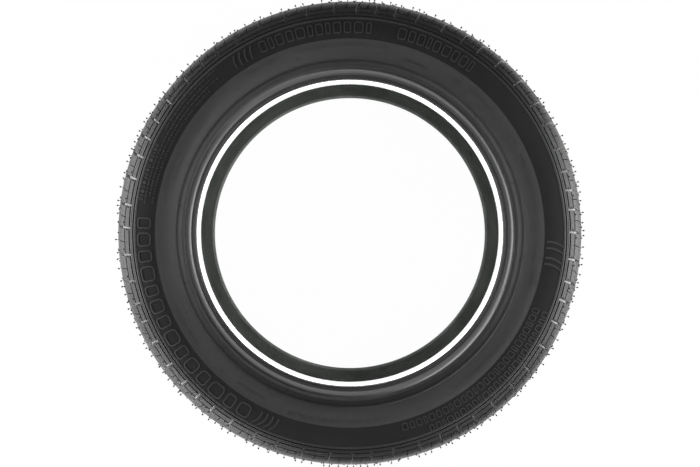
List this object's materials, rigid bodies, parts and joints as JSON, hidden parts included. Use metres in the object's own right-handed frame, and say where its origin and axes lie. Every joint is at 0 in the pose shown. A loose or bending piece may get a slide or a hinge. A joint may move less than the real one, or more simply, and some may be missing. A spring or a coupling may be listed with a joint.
{
  "type": "trailer tyre",
  "caption": "Bare tubeless trailer tyre for a 13 inch rim, with ribbed tread, slotted shoulder blocks, smooth ringed sidewalls and open beads.",
  "frame": {"origin": "centre of the tyre, on the wheel axis, half way between the sidewalls", "axes": "+Z along the wheel axis, out of the sidewall that faces the camera; the tyre lies on its other sidewall"},
  "size_m": [0.522, 0.5218, 0.198],
  "materials": {
    "rubber": "matte vulcanised rubber, glossier at the beads"
  },
  "bodies": {
    "root": {"tyre": "rubber"}
  },
  "joints": []
}
